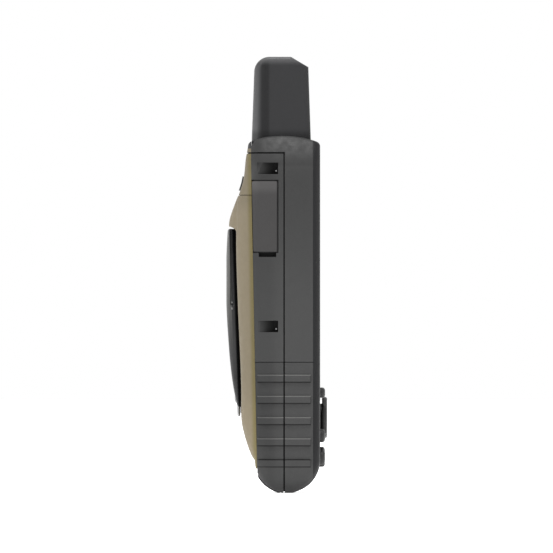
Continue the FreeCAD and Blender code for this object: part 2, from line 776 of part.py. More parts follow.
def make_mounting_spine():
    half, latch_z, floor = size("spine_half_width"), size("latch_z"), size("latch_floor_y")
    spine = spine_side_view(half).common(spine_plan())
    crest = size("spine_end_y") - 0.1
    outer = [e for e in spine.Edges if e.BoundBox.YMin > crest]
    spine = spine.makeFillet(size("spine_edge"), outer)
    for side in (-1, 1):
        x = sorted((side * (half - size("rail_depth")), side * REACH))
        rail = block(x, (size("rail_low_y"), size("rail_high_y")), (size("rail_stop_z"), REACH))
        spine = spine.cut(rail)
        for place in stud_places():
            spine = spine.cut(stud(side, place, 0.02))
    spine = spine.cut(SKIN).cut(hump(0.0))
    spine = spine.cut(spine_opening(12.95))
    spine = spine.cut(block((-10.6, 10.6), (0, 16.2), (58.0, 93.5)))
    spine = spine.cut(rod(size("latch_dish_radius"), (0, floor, latch_z), REACH, AXIS_Y))
    shaft = size("latch_shaft_radius") + size("running_gap")
    spine = spine.cut(rod(shaft, (0, 0, latch_z), REACH, AXIS_Y))
    # the crest is a narrow flat, so that the device lies still on its back
    return piece_from("mounting_spine", spine.cut(block((-REACH, REACH), (size("spine_flat_y"), REACH), (0, REACH))))


def spine_side_view(half):
    """The spine's side outline, a smooth back over a hidden straight front, swept across its width."""
    points = []
    for number in range(1, len(SPINE_STATIONS) + 1):
        points.append(Vector(-half, size(f"spine_station_{number}_y"), size(f"spine_station_{number}_z")))
    back = Part.BSplineCurve()
    back.interpolate(points)
    low, high = Vector(-half, 0, points[0].z), Vector(-half, 0, points[-1].z)
    corners = [points[-1], high, low, points[0]]
    sides = [Part.LineSegment(start, end) for start, end in zip(corners, corners[1:])]
    outline = Part.Wire([back.toShape()] + [side.toShape() for side in sides])
    return Part.Face(outline).extrude(AXIS_X * (2 * half))


def spine_plan():
    """The spine's outline seen from the back: rounded shoulders, a smooth taper and a round end."""
    half, radius, corner = size("spine_half_width"), size("spine_round"), 3.0
    low, top = size("spine_end_z"), size("spine_top_z")
    taper = []
    for side in (1, -1):
        curve = Part.BSplineCurve()
        ends = [Vector(side * half, 0, low + radius + 20), Vector(side * radius, 0, low + radius)]
        curve.interpolate(Points=ends, InitialTangent=-AXIS_Z, FinalTangent=-AXIS_Z)
        taper.append(curve)
    slant = corner * (1 - HALF_ROUND)
    end = Part.Arc(Vector(radius, 0, low + radius), Vector(0, 0, low), Vector(-radius, 0, low + radius))
    shoulders = [
        Part.Arc(Vector(side * half, 0, top - corner), Vector(side * (half - slant), 0, top - slant),
                 Vector(side * (half - corner), 0, top)) for side in (1, -1)
    ]
    lines = [Part.LineSegment(Vector(half - corner, 0, top), Vector(corner - half, 0, top))]
    for side, curve in zip((1, -1), taper):
        lines.append(Part.LineSegment(Vector(side * half, 0, top - corner), curve.StartPoint))
    edges = Part.sortEdges([curve.toShape() for curve in taper + shoulders + lines + [end]])[0]
    return Part.Face(Part.Wire(edges)).extrude(AXIS_Y * REACH)


def make_antenna_cover():
    foot, top = size("antenna_foot_z"), size("antenna_top_z")
    hollow = antenna_form(1.7, foot - 1, top - 2.0)
    return piece_from("antenna_cover", rounded_antenna(0.0, foot, top).cut(hollow))


def soften(solid, radius, edges):
    """solid with its edges rounded, or as it is if the modeller can't round them."""
    try:
        return solid.makeFillet(radius, edges)
    except Part.OCCError:
        return solid


# ---------------------------------------------------------------- soft side pieces


def make_grips():
    halves = (
        between_depths(size("bezel_back_y"), FRONT_EDGE_Y),
        between_depths(REAR_EDGE_Y, REACH).cut(behind_cover_plane()),
    )
    half = size("rib_height") / 2
    bars = []
    for number in range(5):
        z = size("rib_first_z") + number * size("rib_pitch")
        bars.append(block((-REACH, REACH), (-12.3, 7.0), (z - half, z + half)))
    ribs = envelope(-size("rib_proud")).common(Part.makeCompound(bars)).cut(envelope(0.4))
    pads = SKIN.common(below_height(size("grip_top_z") - 0.25)).cut(GRIP_FLOOR)
    for side, name in ((-1, "grip_left"), (1, "grip_right")):
        pads_here = []
        for depths in halves:
            pad = pads.common(grip_zone(side).common(depths))
            pads_here += pad.fuse(ribs.common(depths).common(rib_reach(side))).Solids
        piece_from(name, Part.makeCompound(pads_here))


def rib_reach(side):
    """How far round the case the grip's bars run on one side."""
    x = sorted((side * 17.0, side * REACH))
    return block(x, (-REACH, REACH), (-REACH, REACH))


def bumper_zone():
    """The space of the black strip under the back of the foot."""
    return block((-12.4, 12.4), (-1.2, REACH), (-5, 9.0)).cut(behind_cover_plane(-0.2))


def make_foot_bumper():
    strip = envelope(-size("rib_proud")).common(bumper_zone()).cut(GRIP_FLOOR)
    return piece_from("foot_bumper", strip.common(above_height(0.0)))


def make_port_cap():
    cap = SKIN.common(port_cap_zone(0.0)).cut(CAP_FLOOR)
    bounds = [(e, e.BoundBox) for e in cap.Edges if e.Length < 2.2]
    cap = soften(cap, 0.8, [e for e, b in bounds if b.XLength > 1.2 and b.YLength < 0.6])
    y, z = size("port_y"), size("port_z")
    plug = block((-29.4, -27.4), (y - 1.6, y + 1.6), (z - 3.6, z + 3.6))
    return piece_from("port_cap", cap.fuse(plug))


def make_jack_cap():
    z, half_width, half_height = size("jack_z"), 4.9, 2.6
    space = block((-half_width, half_width), (8.0, REACH), (z - half_height, z + half_height))
    lid = envelope(-0.6).common(space).cut(envelope(0.9))
    bounds = [(e, e.BoundBox) for e in lid.Edges]
    sides = [e for e, b in bounds if b.YLength > 1 and b.ZLength < 1 and b.XLength < 0.1]
    return piece_from("jack_cap", soften(lid, 1.0, sides))


# ---------------------------------------------------------------- latch


def make_latch():
    z, floor, head = size("latch_z"), size("latch_floor_y"), size("latch_head_y")
    shaft = rod(size("latch_shaft_radius"), (0, 9.9, z), floor + 0.2 - 9.9, AXIS_Y)
    knob = rod(size("latch_head_radius"), (0, floor + 0.05, z), head - floor - 0.05, AXIS_Y)
    knob = knob.makeFillet(0.5, [e for e in knob.Edges if e.BoundBox.YMin > head - 0.1])
    barrel = shaft.fuse(knob).removeSplitter()
    hole = size("ring_wire_radius") + size("running_gap")
    barrel = barrel.cut(rod(hole, (-REACH, size("ring_y"), z), 2 * REACH, AXIS_X))
    piece_from("latch_barrel", barrel.cut(rod(0.75, (0, 9.0, z), 3.0, AXIS_Y)))
    tongue = block((-2.0, 2.0), (8.75, 9.9), (z - 7.6, z)).fuse(rod(2.4, (0, 8.75, z), 1.15, AXIS_Y))
    tongue = tongue.removeSplitter().cut(rod(0.78, (0, 8.0, z), 3.0, AXIS_Y))
    piece_from("latch_tongue", tongue)
    screw = rod(0.72, (0, 8.7, z), 3.0, AXIS_Y).fuse(rod(1.5, (0, 8.0, z), 0.74, AXIS_Y))
    piece_from("latch_screw", screw.cut(block((-1.2, 1.2), (7.9, 8.3), (z - 0.2, z + 0.2))))
    make_latch_ring(z)


def make_latch_ring(z):
    """A D of round wire: a straight bar through the barrel and a half hoop hanging from it."""
    radius, wire, y = size("ring_radius"), size("ring_wire_radius"), size("ring_y")
    left, low, right = Vector(-radius, y, z), Vector(0, y, z - radius), Vector(radius, y, z)
    hoop_path = Part.Wire(Part.Arc(left, low, right).toShape())
    hoop_end = Part.Wire(Part.Circle(left, AXIS_Z, wire).toShape())
    hoop = hoop_path.makePipeShell([hoop_end], True, True)
    elbows = [Part.makeSphere(wire, corner) for corner in (left, right)]
    bar = rod(wire, left, 2 * radius, AXIS_X)
    return piece_from("latch_ring", bar.fuse([hoop] + elbows))


# ---------------------------------------------------------------- screen, keys and boards


def make_screen():
    half, low, high = cell("lens_half_width"), cell("lens_low_z"), cell("lens_high_z")
    front = cell("front_y") + 0.1
    lens = box("display_lens_blank", (-half, front, low), (half, front + cell("lens_thickness"), high))
    keep(rounded("display_lens", lens, 2.8, lambda edge: runs_along(edge, AXIS_Y)))
    tape_y = front + cell("lens_thickness")
    tape_back = cell("front_y") + 1.8
    ring = box("lens_tape_blank", (-half + 0.3, tape_y, low + 0.3), (half - 0.3, tape_back, high - 0.3))
    opening = (-half + 1.4, tape_y - 1, low + 1.8), (half - 1.4, tape_y + 2, high - 1.8)
    window = box("lens_tape_window", *opening)
    ring = rounded("lens_tape_ring", ring, 2.8, lambda edge: runs_along(edge, AXIS_Y))
    keep(cut("lens_tape", ring, window))
    stack = (("display_panel", -13.1, -11.5), ("display_backlight", -11.4, -10.3))
    for label, front_y, back_y in stack:
        keep(box(label, (-half + 1.6, front_y, low + 2.0), (half - 1.6, back_y, high - 2.0)))
    tray = box("display_tray_blank", (-half + 0.4, -11.7, low + 1.0), (half - 0.4, -9.2, high - 1.0))
    inside = box("display_tray_inside", (-half + 0.9, -12.7, low + 1.5), (half - 0.9, -9.7, high - 1.5))
    keep(cut("display_tray", tray, inside))


def make_keys():
    gap_behind = 13.2
    for label, x, z, width, height, turn in KEYS:
        body = start_body(label)
        crown = front_sketch(body, f"{label}_outline", -gap_behind + 0.4)
        draw_rectangle(crown, width, height)
        pad(body, crown, f"{label}_crown", -(cell("key_front_y") + gap_behind - 0.4))
        fillet(body, f"{label}_ends", height / 2 - 0.05, lambda edge: runs_along(edge, AXIS_Y))
        front = size("key_front_y")
        fillet(body, f"{label}_rim", 0.9, lambda edge, y=front: edge.BoundBox.YMax < y + 0.01)
        skirt = front_sketch(body, f"{label}_skirt_outline", -gap_behind + 0.6)
        draw_rectangle(skirt, width + 0.8, height + 0.8)
        pad(body, skirt, f"{label}_skirt", 0.6)
        stem = front_sketch(body, f"{label}_stem_outline", -11.65)
        draw_rectangle(stem, 2.4, 2.0)
        pad(body, stem, f"{label}_stem", 1.2)
        body.Placement = key_place(x, z, turn)
        keep(body)


def make_rocker():
    z, axis = cell("rocker_z"), cell("rocker_axis_y")
    neck_back, under, front = axis - 1.15, cell("rocker_under_y"), cell("rocker_front_y")
    neck_length = neck_back - under + 0.3
    neck = cylinder("rocker_neck_blank", (0, neck_back, z), cell("rocker_neck"), neck_length, -AXIS_Y)
    disc = cylinder("rocker_disc_blank", (0, under, z), cell("rocker_radius"), under - front, -AXIS_Y)
    disc = rounded("rocker_disc", disc, 0.7, lambda edge: isinstance(edge.Curve, Part.Circle))
    bowl = doc.addObject("Part::Sphere", "rocker_bowl")
    bowl.Radius = 26.0
    bind(bowl, "Placement.Base.y", front - 25.2)
    bind(bowl, "Placement.Base.z", z)
    lugs = []
    for number, side in enumerate((-1, 1), 1):
        low, high = sorted((side * 2.1, side * 3.3))
        lug = (-1.3, neck_back - 0.2, z + low), (1.3, axis + 1.0, z + high)
        lugs.append(box(f"rocker_lug_{number}", *lug))
    hole = cylinder("rocker_hole", (0, axis, z - 6), cell("pivot_radius") + 0.06, 12)
    keep(cut("rocker", fuse("rocker_blank", neck, disc, *lugs), bowl, hole))
    cross = cylinder("pivot_bar_x", (-3.4, axis, z), cell("pivot_radius"), 6.8, AXIS_X)
    upright = cylinder("pivot_bar_z", (0, axis, z - 3.3), cell("pivot_radius"), 6.6)
    keep(fuse("rocker_pivot", cross, upright))
    plate = cylinder("rocker_seat_plate", (0, -10.7, z), 6.2, 0.4, -AXIS_Y)
    posts = []
    for number, side in enumerate((-1, 1), 1):
        low, high = sorted((side * 2.2, side * 3.6))
        post = (low, axis - 0.75, z - 1.1), (high, -10.8, z + 1.1)
        posts.append(box(f"rocker_post_{number}", *post))
    bores = cylinder("rocker_seat_bore", (-6, axis, z), cell("pivot_radius") + 0.06, 12, AXIS_X)
    keep(cut("rocker_seat", fuse("rocker_seat_blank", plate, *posts), bores))


def make_boards():
    mat_y = cell("keymat_y")
    mat = box("keypad_mat_blank", (-23.0, mat_y, 9.0), (23.0, mat_y + 0.8, 40.6))
    gap = cylinder("keypad_mat_gap", (0, mat_y - 1, cell("rocker_z")), 6.6, 3, AXIS_Y)
    keep(cut("keypad_mat", mat, gap))
    domes = []
    for label, x, z, *_ in KEYS:
        domes.append(cylinder(f"{label}_dome", (x, -10.3, z), 2.1, 0.3, AXIS_Y))
    keep(fuse("key_domes", *domes))
    keep(box("keypad_board", (-22.0, -9.95, 9.4), (22.0, -9.15, 41.0)))
    half = cell("board_half_width")
    board = box("main_board_blank", (-half, -8.0, 17.0), (half, -6.8, 120.5))
    keep(rounded("main_board", board, 4.0, lambda edge: runs_along(edge, AXIS_Y)))
    can = box("receiver_shield_blank", (-19.0, -6.75, 100.8), (-1.0, -4.0, 119.0))
    keep(rounded("receiver_shield", can, 0.8, lambda edge: runs_along(edge, AXIS_Y)))
    chips = [
        box("processor_chip", (-6.0, -6.75, 84.0), (6.0, -5.5, 96.0)),
        box("memory_chip", (9.0, -6.75, 82.0), (18.0, -5.7, 94.0)),
        box("power_chip", (-18.0, -6.75, 50.0), (-12.0, -5.7, 56.0)),
        box("sensor_chip", (12.0, -6.75, 30.0), (15.0, -5.8, 33.0)),
    ]
    keep(fuse("board_chips", *chips))
    keep(cylinder("beeper", (12.0, -6.75, 110.0), 5.0, 3.0, AXIS_Y))
    switch = box("power_switch_body", (19.4, -6.75, 102.8), (24.4, -4.4, 107.2))
    stub = box("power_switch_stub", (24.2, -6.3, 104.0), (26.9, -4.9, 106.0))
    keep(fuse("power_switch", switch, stub))


def make_power_key():
    y, z = cell("power_y"), cell("power_z")
    crown = box("power_key_crown", (28.0, y - 1.95, z - 5.4), (cell("case_half_width"), y + 1.95, z + 5.4))
    ends = rounded("power_key_ends", crown, 1.9, lambda edge: runs_along(edge, AXIS_X))
    face = size("case_half_width") - 0.01
    rim = rounded("power_key_rim", ends, 0.5, lambda edge: edge.BoundBox.XMin > face)
    skirt = box("power_key_skirt", (27.5, y - 2.7, z - 6.2), (28.2, y + 2.7, z + 6.2))
    keep(fuse("power_key", rim, skirt))


def make_ports():
    y, z = cell("port_y"), cell("port_z")
    shell = box("port_shell", (-27.2, y - 1.95, z - 3.85), (-19.0, y + 1.95, z + 3.85))
    mouth = box("port_mouth", (-28.0, y - 1.65, z - 3.55), (-21.0, y + 1.65, z + 3.55))
    tongue = box("port_tongue", (-26.4, y - 0.35, z - 2.6), (-20.8, y + 0.35, z + 2.6))
    keep(fuse("data_port", cut("data_port_shell", shell, mouth), tongue))
    keep(box("port_board", (-26.2, y - 3.1, z - 8.0), (-17.6, y - 2.05, z + 7.0)))
    jack_z = cell("jack_z")
    barrel = cylinder("jack_barrel", (0, -4.0, jack_z), 2.2, 15.0, AXIS_Y)
    base = box("jack_base", (-0.8, -6.75, jack_z - 3.0), (5.4, -3.6, jack_z + 3.0))
    socket = cylinder("jack_socket", (0, 7.0, jack_z), 1.6, 6.0, AXIS_Y)
    pin = cylinder("jack_pin", (0, 6.0, jack_z), 0.35, 4.4, AXIS_Y)
    keep(fuse("antenna_jack", cut("jack_shell", fuse("jack_blank", barrel, base), socket), pin))


def make_antenna_inside():
    x, foot = cell("antenna_x"), cell("antenna_foot_z")
    y = -1.8
    keep(box("antenna_board", (x - 9.0, y - 7.0, foot + 0.2), (x + 9.0, y + 7.0, foot + 1.4)))
    core = cylinder("antenna_core_rod", (x, y, foot + 1.5), 5.2, 24.0)
    bore = cylinder("antenna_core_bore", (x, y, foot + 1.0), 3.6, 26.0)
    keep(cut("antenna_core", core, bore))
    make_antenna_arms(size("antenna_x"), y, size("antenna_foot_z") + 2.2)


def make_antenna_arms(x, y, z):
    """Four wires wound half a turn up the core."""
    wire_radius, wound_radius, height = 0.35, 5.65, 22.0
    helix = Part.makeHelix(2 * height, height, wound_radius)
    section = Part.Wire(Part.Circle(Vector(wound_radius, 0, 0), AXIS_Y, wire_radius).toShape())
    arm = Part.Wire(helix).makePipeShell([section], True, True)
    arms = []
    for quarter in range(4):
        turned = arm.copy()
        turned.rotate(Vector(), AXIS_Z, 90 * quarter)
        turned.translate(Vector(x, y, z))
        arms.append(turned)
    return piece_from("antenna_arms", Part.makeCompound(arms))


def make_antenna_lead():
    """The coaxial lead from the antenna's board down to the receiver."""
    x, top, low, radius = -14.0, size("antenna_foot_z") + 0.1, 121.6, 1.6
    y_top, y_low = -3.0, -7.4
    bend = radius * (1 - HALF_ROUND)
    points = (
        Vector(x, y_top, top), Vector(x, y_top, low + radius),
        Vector(x, y_top - bend, low + bend), Vector(x, y_top - radius, low), Vector(x, y_low, low),
    )
    path = Part.Wire([
        Part.LineSegment(points[0], points[1]).toShape(),
        Part.Arc(points[1], points[2], points[3]).toShape(),
        Part.LineSegment(points[3], points[4]).toShape(),
    ])
    section = Part.Wire(Part.Circle(points[0], AXIS_Z, 0.6).toShape())
    return piece_from("antenna_lead", path.makePipeShell([section], True, True))


# ---------------------------------------------------------------- batteries, contacts and fasteners


def make_batteries():
    y, radius, length = cell("battery_y"), cell("battery_radius"), cell("battery_length")
    for label, side, cap_up in (("battery_left", -1, True), ("battery_right", 1, False)):
        x = cell("battery_x") * side
        z = cell(label + "_z")
        can = cylinder(f"{label}_can", (x, y, z), radius, length)
        can = rounded(f"{label}_body", can, 0.7, lambda edge: isinstance(edge.Curve, Part.Circle))
        nub_z = z + length - 0.1 if cap_up else z - 1.0
        nub = cylinder(f"{label}_nub", (x, y, nub_z), 2.7, 1.1)
        keep(fuse(label, can, nub))


def coil(x, z, height):
    """A battery spring of round wire."""
    wire, radius, y = 0.35, 3.0, size("battery_y")
    helix = Part.makeHelix((height - 2 * wire) / 3, height - 2 * wire, radius)
    section = Part.Wire(Part.Circle(Vector(radius, 0, 0), AXIS_Y, wire).toShape())
    spring = Part.Wire(helix).makePipeShell([section], True, True)
    spring.translate(Vector(x, y, z + wire))
    return spring


def make_contacts():
    half, x = cell("bay_half_width") - 0.4, cell("battery_x")
    low, high, y = cell("bay_low_z"), cell("bay_high_z"), cell("battery_y")
    keep(box("contact_bridge", (-half, y - 5, low + 0.05), (half, y + 5, low + 0.4)))
    left = box("contact_plate_left", (-half, y - 5, high - 0.4), (-1.0, y + 5, high - 0.05))
    right = box("contact_plate_right", (1.0, y - 5, high - 0.4), (half, y + 5, high - 0.05))
    keep(fuse("contact_plates", left, right))
    battery_top = size("battery_right_z") + size("battery_length")
    springs = [
        coil(-x.value, size("bay_low_z") + 0.42, size("battery_left_z") - size("bay_low_z") - 0.5),
        coil(x.value, battery_top + 0.06, size("bay_high_z") - 0.5 - battery_top),
    ]
    piece_from("contact_springs", Part.makeCompound(springs))


def make_card():
    floor = cell("bay_floor_y")
    frame = box("card_socket_blank", (-7.0, floor - 1.85, 61.8), (7.0, floor - 0.4, 77.4))
    slot = box("card_socket_slot", (-5.7, floor - 1.5, 60.0), (5.7, floor - 0.6, 76.6))
    view = box("card_socket_window", (-4.4, floor - 1.2, 60.0), (4.4, floor + 1.0, 72.0))
    keep(cut("card_socket", frame, slot, view))
    card = box("memory_card_blank", (-5.5, floor - 1.45, 61.0 + 0.9), (5.5, floor - 0.7, 76.4))
    keep(rounded("memory_card", card, 0.8, lambda edge: runs_along(edge, AXIS_Y)))


def make_seal():
    half, low, high = size("bay_half_width"), size("bay_low_z"), size("bay_high_z")
    outer = block((-half - 1.4, half + 1.4), (0, REACH), (low - 1.4, high + 1.4))
    inner = block((-half - 0.2, half + 0.2), (-1, REACH), (low - 0.2, high + 0.2))
    ring = outer.cut(inner).common(behind_cover_plane(-size("cover_step")))
    return piece_from("door_seal", ring.cut(behind_cover_plane(0.6)))


def make_screws():
    screws = []
    for x, z in screw_places():
        seat = cover_depth(z) - size("cover_step") - 1.0
        head = rod(1.8, (x, seat + 0.02, z), 0.95, AXIS_Y)
        shank = rod(size("screw_radius"), (x, -8.0, z), seat + 8.1, AXIS_Y)
        recess = block((x - 0.3, x + 0.3), (seat + 0.5, seat + 2), (z - 1.0, z + 1.0))
        recess = recess.fuse(block((x - 1.0, x + 1.0), (seat + 0.5, seat + 2), (z - 0.3, z + 0.3)))
        screws.append(head.fuse(shank).cut(recess))
    return piece_from("case_screws", Part.makeCompound(screws))


def make_catch_pins():
    """Small steel pins that stand in the deep end of the four side pockets."""
    pins = []
    for side in (-1, 1):
        for z in (size("catch_low_z"), size("catch_high_z")):
            foot_x = side * (half_width_at(z, 0) - size("catch_depth"))
            pins.append(rod(0.32, (foot_x, 0.2, z - 0.9), 1.3, AXIS_X * side))
    return piece_from("catch_pins", Part.makeCompound(pins))


def make_rail_studs():
    """Steel studs at the stop of each rail, one in the rail and one in the flank below it."""
    studs = []
    for side in (-1, 1):
        for place in stud_places():
            studs.append(stud(side, place, 0.0))
    return piece_from("rail_studs", Part.makeCompound(studs))


def stud_places():
    """Height of each stud, and how far its foot and its head lie from the spine's middle."""
    stop, half = size("rail_stop_z"), size("spine_half_width")
    floor = half - size("rail_depth")
    return (stop + 1.0, floor - 1.0, half - 0.5), (stop - 1.2, half - 1.2, half + 0.2)


def stud(side, place, gap):
    z, foot, head = place
    middle_y = (size("rail_low_y") + size("rail_high_y")) / 2
    return rod(0.34 + gap, (side * foot, middle_y, z), head - foot, AXIS_X * side)


def make_device():
    make_front_case()
    make_rear_case()
    make_case_gasket()
    make_front_bezel()
    make_back_cover()
    make_battery_door()
    make_mounting_spine()
    make_antenna_cover()
    make_grips()
    make_foot_bumper()
    make_port_cap()
    make_jack_cap()
    make_latch()
    make_screen()
    make_keys()
    make_rocker()
    make_boards()
    make_power_key()
    make_ports()
    make_antenna_inside()
    make_antenna_lead()
    make_batteries()
    make_contacts()
    make_card()
    make_seal()
    make_screws()
    make_catch_pins()
    make_rail_studs()


def write_pieces():
    """Checks every object and piece, then writes one STEP file for each piece."""
    doc.recompute()
    for feature in doc.Objects:
        if "Invalid" in feature.State or "Error" in feature.State:
            raise RuntimeError(f"{feature.Label} failed: {feature.State}")
    for piece in pieces:
        if piece.Shape.isNull() or not piece.Shape.isValid() or not piece.Shape.Solids:
            raise RuntimeError(f"{piece.Label} has no valid solid")
    os.makedirs("parts", exist_ok=True)
    for piece in pieces:
        piece.Shape.exportStep(f"parts/{piece.Label}.step")
    print(len(pieces), "pieces")


make_device()
write_pieces()
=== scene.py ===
"""Looks of a handheld satellite navigator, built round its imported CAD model.

Lengths are in metres. +Z runs up the case, -Y is the front with the screen and keys, and +Y is the back.
"""

import math

import bmesh
import bpy
from mathutils import Matrix, Vector


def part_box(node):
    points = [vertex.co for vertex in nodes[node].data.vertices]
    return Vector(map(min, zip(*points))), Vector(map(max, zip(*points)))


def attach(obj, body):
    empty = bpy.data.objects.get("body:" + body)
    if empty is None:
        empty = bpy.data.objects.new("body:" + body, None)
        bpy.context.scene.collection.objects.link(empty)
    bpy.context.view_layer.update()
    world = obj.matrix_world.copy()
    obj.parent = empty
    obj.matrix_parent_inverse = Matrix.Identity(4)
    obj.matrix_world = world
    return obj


MM = 0.001
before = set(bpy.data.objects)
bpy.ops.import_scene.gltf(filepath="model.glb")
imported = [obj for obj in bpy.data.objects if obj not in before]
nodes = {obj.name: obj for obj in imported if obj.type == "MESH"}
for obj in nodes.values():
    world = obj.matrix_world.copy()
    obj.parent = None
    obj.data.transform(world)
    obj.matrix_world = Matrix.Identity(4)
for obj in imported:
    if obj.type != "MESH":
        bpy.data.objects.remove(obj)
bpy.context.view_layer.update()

# The photograph's view: from the left side, level, with the whole device in a square picture.
VIEW_SIDE = 203.4 * MM
VIEW_CENTRE = Vector((0, 0.1 * MM, 79.4 * MM))
VIEW_DISTANCE = 8.0
SENSOR = 36.0
NEAR_CLIP = 1.0
FAR_CLIP = 40.0
FLOOR_DROP = 0.2 * MM
FLOOR_RADIUS = 6.0

EDGE_ROUND = 0.25 * MM  # radius that rendered edges are softened to
FINE_GRAIN = 5200  # pits across a metre
RIB_PITCH = 7.77 * MM
RIB_SPAN = (-12.3 * MM, 7.0 * MM)  # how far the ribs run from front to back
SPINE_LEAN = 0.0354  # how far the back leans outwards for each metre of height
COVER_LEAN = 0.0198  # the same for the front edge of the tan back


# ---------------------------------------------------------------- materials

def srgb(red, green, blue):
    """A linear colour from the 0 to 255 values that a screen shows."""
    shares = (value / 255 for value in (red, green, blue))
    return tuple(s / 12.92 if s <= 0.04045 else ((s + 0.055) / 1.055) ** 2.4 for s in shares) + (1.0,)


class Finish:
    """A material that is built up node by node."""

    def __init__(self, name, colour, roughness=0.5, specular=0.4, **settings):
        self.material = bpy.data.materials.new(name)
        self.material.use_nodes = True
        self.tree = self.material.node_tree
        self.shader = self.tree.nodes["Principled BSDF"]
        self.colour = self.value(colour)
        self.shader.inputs["Base Color"].default_value = colour
        self.shader.inputs["Roughness"].default_value = roughness
        self.shader.inputs["Specular IOR Level"].default_value = specular
        for socket, value in settings.items():
            self.shader.inputs[socket.replace("_", " ")].default_value = value
        self.place = self.add("ShaderNodeTexCoord").outputs["Object"]
        self.normal = self.soft_edges()

    def add(self, kind, **settings):
        node = self.tree.nodes.new(kind)
        for name, value in settings.items():
            setattr(node, name, value)
        return node

    def soft_edges(self):
        """Normals that run round every sharp edge, as on a moulded part."""
        node = self.add("ShaderNodeBevel", samples=6)
        node.inputs["Radius"].default_value = EDGE_ROUND
        return node.outputs[0]

    def value(self, colour):
        node = self.add("ShaderNodeRGB")
        node.outputs[0].default_value = colour
        return node.outputs[0]

    def feed(self, socket, source):
        """Gives a socket a number, a colour or another node's output."""
        if isinstance(source, bpy.types.NodeSocket):
            self.tree.links.new(source, socket)
        else:
            socket.default_value = source

    def noise(self, scale, detail=3.0, roughness=0.55, stretch=(1, 1, 1)):
        """Smooth noise from 0 to 1, with its features about 1 / scale metres apart."""
        mapping = self.add("ShaderNodeMapping")
        self.feed(mapping.inputs["Vector"], self.place)
        mapping.inputs["Scale"].default_value = stretch
        node = self.add("ShaderNodeTexNoise")
        self.feed(node.inputs["Vector"], mapping.outputs[0])
        node.inputs["Scale"].default_value = scale
        node.inputs["Detail"].default_value = detail
        node.inputs["Roughness"].default_value = roughness
        return node.outputs["Fac"]

    def cells(self, scale, feature="F1", randomness=1.0):
        node = self.add("ShaderNodeTexVoronoi", feature=feature)
        self.feed(node.inputs["Vector"], self.place)
        node.inputs["Scale"].default_value = scale
        node.inputs["Randomness"].default_value = randomness
        return node.outputs["Distance"]

    def axis(self, letter):
        node = self.add("ShaderNodeSeparateXYZ")
        self.feed(node.inputs[0], self.place)
        return node.outputs["XYZ".index(letter)]

    def maths(self, operation, first, second=0.0, third=0.0):
        node = self.add("ShaderNodeMath", operation=operation)
        for socket, source in zip(node.inputs, (first, second, third)):
            self.feed(socket, source)
        return node.outputs[0]

    def ramp(self, source, low, high, start=0.0, end=1.0):
        """source, taken from the span low to high onto start to end, and held there."""
        node = self.add("ShaderNodeMapRange", interpolation_type="SMOOTHSTEP")
        for socket, number in zip(node.inputs, (source, low, high, start, end)):
            self.feed(socket, number)
        return node.outputs[0]

    def band(self, source, low, high, soft):
        """1 between low and high, falling to 0 over soft on each side."""
        rise = self.ramp(source, low - soft, low)
        fall = self.ramp(source, high, high + soft, 1.0, 0.0)
        return self.maths("MULTIPLY", rise, fall)

    def mix(self, share, first, second, blend="MIX"):
        node = self.add("ShaderNodeMix", data_type="RGBA", blend_type=blend)
        for socket, source in zip((node.inputs[0], node.inputs[6], node.inputs[7]), (share, first, second)):
            self.feed(socket, source)
        return node.outputs[2]

    def tint(self, share, colour, blend="MIX"):
        """Lays a colour over what the material has so far."""
        self.colour = self.mix(share, self.colour, colour, blend)

    def shade(self, source, darkest, lightest):
        """Multiplies the colour by darkest where source is 0 and by lightest where it is 1."""
        amount = self.ramp(source, 0.0, 1.0, darkest, lightest)
        grey = self.add("ShaderNodeCombineColor")
        for socket in grey.inputs[:3]:
            self.feed(socket, amount)
        self.tint(1.0, grey.outputs[0], "MULTIPLY")

    def bump(self, height, depth, strength=1.0):
        """Raises the surface by up to depth metres."""
        node = self.add("ShaderNodeBump")
        node.inputs["Strength"].default_value = strength
        node.inputs["Distance"].default_value = depth
        self.feed(node.inputs["Height"], height)
        self.feed(node.inputs["Normal"], self.normal)
        self.normal = node.outputs[0]

    def inside(self, x=None, y=None, z=None, soft=0.05 * MM):
        """1 inside a box given by pairs of limits; x is taken the same on both sides."""
        share = None
        for letter, limits in zip("XYZ", (x, y, z)):
            if limits is None:
                continue
            along = self.axis(letter)
            if letter == "X":
                along = self.maths("ABSOLUTE", along)
            part = self.band(along, limits[0], limits[1], soft)
            share = part if share is None else self.maths("MULTIPLY", share, part)
        return share

    def polish(self, source, low, high):
        """Lets the roughness wander from low to high with source."""
        self.feed(self.shader.inputs["Roughness"], self.ramp(source, 0.25, 0.75, low, high))

    def dull(self, share):
        """Takes the sheen away where share is 1."""
        level = self.shader.inputs["Specular IOR Level"]
        self.feed(level, self.ramp(share, 0.0, 1.0, level.default_value, 0.02))

    def done(self):
        self.feed(self.shader.inputs["Base Color"], self.colour)
        self.feed(self.shader.inputs["Normal"], self.normal)
        return self.material


def moulded(name, colour, roughness=0.55, grain=4200, grain_depth=0.012 * MM, specular=0.35):
    """Spark-eroded moulded plastic: fine pits, faint flow marks and a roughness that wanders a little."""
    finish = Finish(name, colour, roughness, specular)
    finish.shade(finish.noise(45, 4), 0.98, 1.02)
    finish.shade(finish.noise(2600, 2), 0.94, 1.06)
    finish.bump(finish.noise(grain, 3, 0.7), grain_depth)
    finish.bump(finish.noise(110, 2), 0.02 * MM, 0.04)
    finish.polish(finish.noise(380, 3), roughness - 0.07, roughness + 0.07)
    return finish


